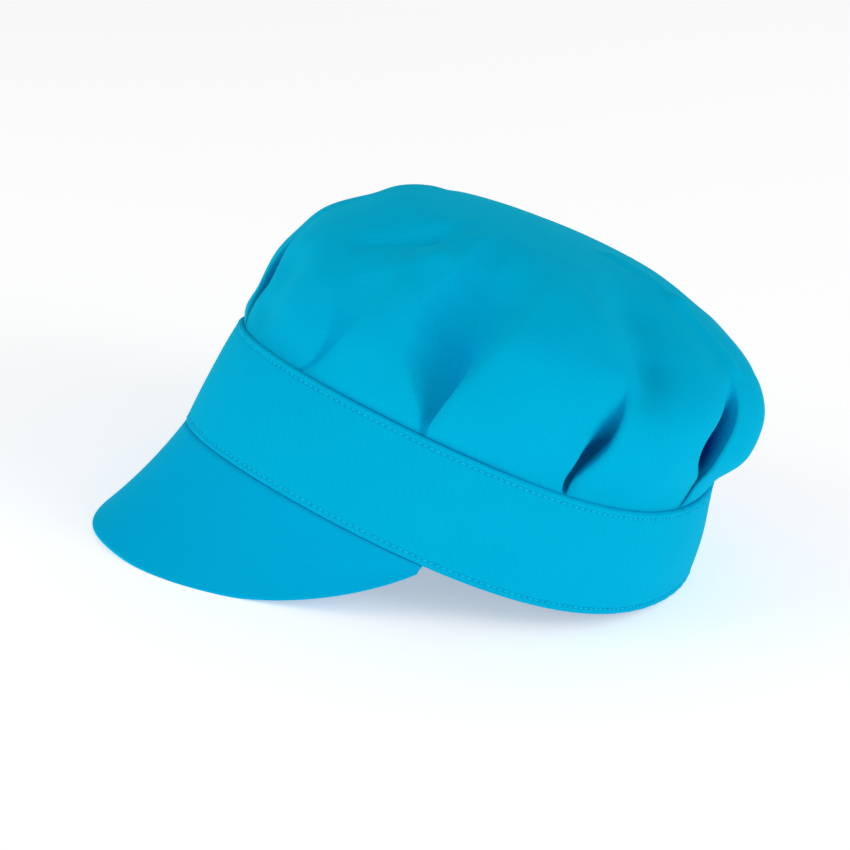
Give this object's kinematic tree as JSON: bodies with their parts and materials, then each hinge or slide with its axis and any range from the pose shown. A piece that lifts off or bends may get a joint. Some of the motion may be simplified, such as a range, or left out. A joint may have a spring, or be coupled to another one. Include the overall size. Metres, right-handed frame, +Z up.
{
  "type": "peaked chef cap",
  "caption": "Soft cloth kitchen cap: a stiff band, a peak hung from its front edge and a wide pleated crown; open below for the head.",
  "frame": {"origin": "on the table under the middle of the cap's box, with the cap leaning on the back of its band and the tip of its peak", "axes": "+Z up, the peak towards -Y, the wearer's left towards +X"},
  "size_m": [0.1926, 0.2392, 0.1218],
  "materials": {
    "crown_cloth": "cyan cotton twill, matt",
    "band_cloth": "cyan cotton twill, matt, doubled and pressed flat",
    "peak_cloth": "cyan cotton twill, matt, over a stiff board"
  },
  "bodies": {
    "root": {"crown": "crown_cloth", "band": "band_cloth", "peak": "peak_cloth"}
  },
  "joints": []
}
